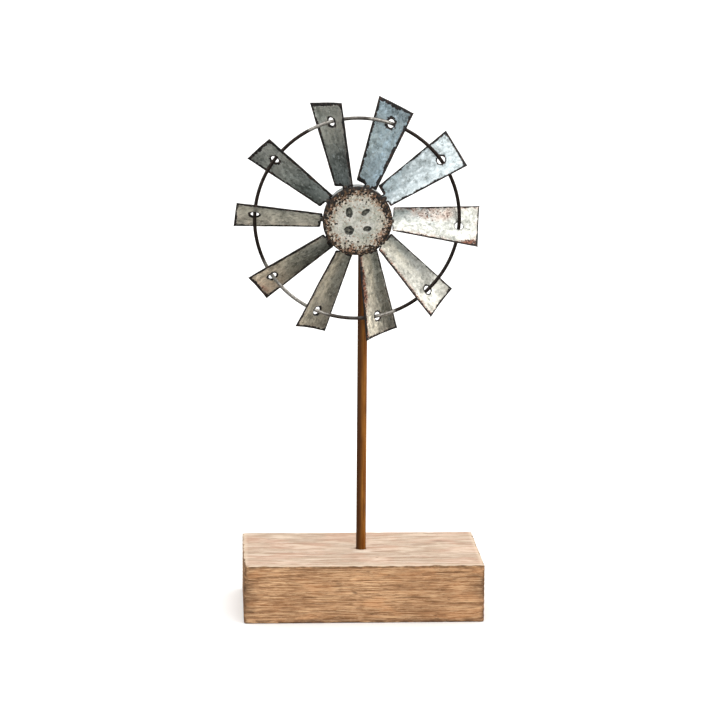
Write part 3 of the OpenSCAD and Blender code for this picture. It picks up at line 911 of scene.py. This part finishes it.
def make_block():
    """The block: rounded and chipped edges, soft wood brushed out between the growth rings."""
    points, faces = block_shell(BLOCK_GRID_X, BLOCK_GRID_YZ)
    moved, ring, top, worn, end = [], [], [], [], []
    middle = (BLOCK_LOW + BLOCK_HIGH) / 2
    for p in points:
        wear = 0.5 + 0.5 * lumps(p.x / 22, p.y / 22, p.z / 22)
        chip = max(0.0, lumps(p.x / 7, p.y / 4, p.z / 4) - 0.22)
        knocked = 2.0 * smooth(-60, -76, p.x) * smooth(-20, -44, p.y) * smooth(20, 36, p.z)
        radius = 0.9 + 1.1 * wear + 2.2 * chip + knocked
        q = soften(p, radius)
        gaps = sorted(min(p[a] - BLOCK_LOW[a], BLOCK_HIGH[a] - p[a]) for a in range(3))
        late = growth(q.x, q.y, q.z)
        brushed = 0.20 * (1 - late) + 0.10 * (1 + lumps(q.x / 16, q.y / 1.6, q.z / 1.6))
        on_end = smooth(1.2, 0.2, min(p.x - BLOCK_LOW.x, BLOCK_HIGH.x - p.x))
        on_top = smooth(1.2, 0.1, BLOCK_HIGH.z - q.z + 0.6 * lumps(q.x / 5, q.y / 3, 4))
        flat_under = smooth(0.0, 1.0, p.z - BLOCK_LOW.z)
        away = q - middle
        push = Vector((0, 0, 0))
        for a in range(3):
            face_gap = min(p[a] - BLOCK_LOW[a], BLOCK_HIGH[a] - p[a])
            if face_gap < 0.01:
                push[a] = -1 if away[a] > 0 else 1
        q = q + push * (brushed * flat_under * 0.6 if push.length > 0 else 0)
        moved.append(q)
        ring.append(late)
        top.append(on_top)
        worn.append(smooth(3.2, 0.4, gaps[1]))
        end.append(on_end)
    piece = make_piece(
        "timber_block", moved, faces, Matrix(), STAND, MATERIALS["timber"], ["base_block"],
        {"ring": ring, "top": top, "worn": worn, "end": end},
    )
    bore(piece, BLOCK_HIGH.z - BORE_DEPTH, BLOCK_HIGH.z + 2, MAST_R + BORE_PLAY)
    bore(piece, BLOCK_LOW.z + 2, BLOCK_HIGH.z - 2, STUD_HOLE_R)
    bore(piece, BLOCK_LOW.z - 2, BLOCK_LOW.z + COUNTERBORE_H, COUNTERBORE_R)


def bore(piece, low, high, radius):
    """Cuts an upright round hole in the piece, on the mast's axis, from low to high."""
    bpy.ops.mesh.primitive_cylinder_add(
        vertices=64, radius=radius * MM, depth=(high - low) * MM, location=(0, 0, (low + high) / 2 * MM)
    )
    cutter = bpy.context.object
    cut = piece.modifiers.new("bore", "BOOLEAN")
    cut.operation = "DIFFERENCE"
    cut.solver = "EXACT"
    cut.object = cutter
    bpy.context.view_layer.objects.active = piece
    bpy.ops.object.modifier_apply(modifier=cut.name)
    bpy.data.objects.remove(cutter)


# ---------------------------------------------------------------- camera, light and floor
# The camera's place, in metres, and its angles are the result of a least-squares fit to the photo
CAMERA_PLACE = (-0.0936, -1.6485, 0.4564)
LENS_MM = 130
# Degrees that the camera looks down, turns to its right and rolls
LOOK_DOWN, TURN_RIGHT, ROLL = 10.08, 3.2, 0.4
FLOOR_SIZE = 40
SUN_PLACE = (0.9, -1.2, 1.5)
SUN_ANGLE = 50


def make_camera():
    camera = bpy.data.objects.new("camera", bpy.data.cameras.new("camera"))
    bpy.context.collection.objects.link(camera)
    camera.data.sensor_width = 36
    camera.data.lens = LENS_MM
    camera.data.clip_start = 0.05
    camera.data.clip_end = 60
    look_down, turn_right, tilt = (math.radians(a) for a in (LOOK_DOWN, TURN_RIGHT, ROLL))
    camera.matrix_world = (
        Matrix.Translation(CAMERA_PLACE)
        @ Matrix.Rotation(-turn_right, 4, "Z")
        @ Matrix.Rotation(math.pi / 2 - look_down, 4, "X")
        @ Matrix.Rotation(tilt, 4, "Z")
    )
    bpy.context.scene.camera = camera


def make_sun():
    """A weak, wide sun in front, above and to the right, aimed at the middle of the mast."""
    light = bpy.data.lights.new("key", "SUN")
    light.energy = 0.7
    light.color = (1.0, 0.98, 0.95)
    light.angle = math.radians(SUN_ANGLE)
    lamp = bpy.data.objects.new("key", light)
    bpy.context.collection.objects.link(lamp)
    lamp.location = SUN_PLACE
    lamp.rotation_mode = "QUATERNION"
    lamp.rotation_quaternion = (Vector((0, 0, 0.15)) - Vector(SUN_PLACE)).to_track_quat("-Z", "Y")


def make_surroundings():
    """Plain white to look at. What it sheds is soft: bright overhead and behind, dim near the floor."""
    world = bpy.data.worlds.new("studio")
    bpy.context.scene.world = world
    world.use_nodes = True
    tree = world.node_tree

    def add(kind, output, inputs, **settings):
        node = tree.nodes.new(kind)
        for key, value in settings.items():
            setattr(node, key, value)
        for key, value in inputs.items():
            if isinstance(value, bpy.types.NodeSocket):
                tree.links.new(value, node.inputs[key])
            else:
                node.inputs[key].default_value = value
        return node.outputs[output]

    def fade(value, low, high):
        inputs = {"Value": value, "From Min": low, "From Max": high, "To Min": 0.0, "To Max": 1.0}
        return add("ShaderNodeMapRange", "Result", inputs, interpolation_type="SMOOTHSTEP")

    def mix(share, first, second):
        return add("ShaderNodeMix", 2, {0: share, 6: first, 7: second}, data_type="RGBA")

    way = add("ShaderNodeTexCoord", "Generated", {})
    parts = tree.nodes.new("ShaderNodeSeparateXYZ")
    tree.links.new(way, parts.inputs[0])
    right, back, up = parts.outputs
    front_floor = mix(fade(right, -0.6, 0.4), (0.04, 0.045, 0.045, 1), (0.10, 0.09, 0.07, 1))
    back_floor = mix(fade(right, -0.7, 0.3), (0.10, 0.105, 0.10, 1), (0.75, 0.67, 0.54, 1))
    below = mix(fade(back, 0.0, 0.35), front_floor, back_floor)
    front_level = mix(fade(right, -0.2, 0.5), (1.00, 1.18, 1.26, 1), (0.10, 0.10, 0.09, 1))
    back_level = mix(fade(right, -0.6, 0.3), (0.12, 0.13, 0.13, 1), (2.30, 2.13, 1.88, 1))
    level = mix(fade(back, -0.15, 0.22), front_level, back_level)
    level = mix(fade(back, -0.75, -0.95), level, (0.80, 0.80, 0.78, 1))
    low = mix(fade(up, -0.40, -0.02), below, level)
    colour = mix(fade(up, 0.08, 0.50), low, (1.58, 1.575, 1.56, 1))
    colour = mix(add("ShaderNodeLightPath", "Is Camera Ray", {}), colour, (1, 1, 1, 1))
    tree.links.new(colour, tree.nodes["Background"].inputs["Color"])


def make_studio():
    make_surroundings()
    floor_mesh = bpy.data.meshes.new("floor")
    half = FLOOR_SIZE / 2
    corners = [(-half, -half, 0), (half, -half, 0), (half, half, 0), (-half, half, 0)]
    floor_mesh.from_pydata(corners, [], [(0, 1, 2, 3)])
    floor = bpy.data.objects.new("floor", floor_mesh)
    bpy.context.collection.objects.link(floor)
    s = Shader("floor")
    s.surface.inputs["Base Color"].default_value = (0.9, 0.9, 0.9, 1)
    s.surface.inputs["Roughness"].default_value = 0.9
    floor_mesh.materials.append(s.material)

    floor.visible_glossy = False
    make_sun()
    bpy.context.scene.view_settings.view_transform = "Standard"


# ---------------------------------------------------------------- build
make_camera()
make_studio()
dress_cad_nodes()
make_block()
make_ring()
make_cap()
for number, node in enumerate(sorted(WEATHER_AND_LIGHT), 1):
    make_blade(node, number)
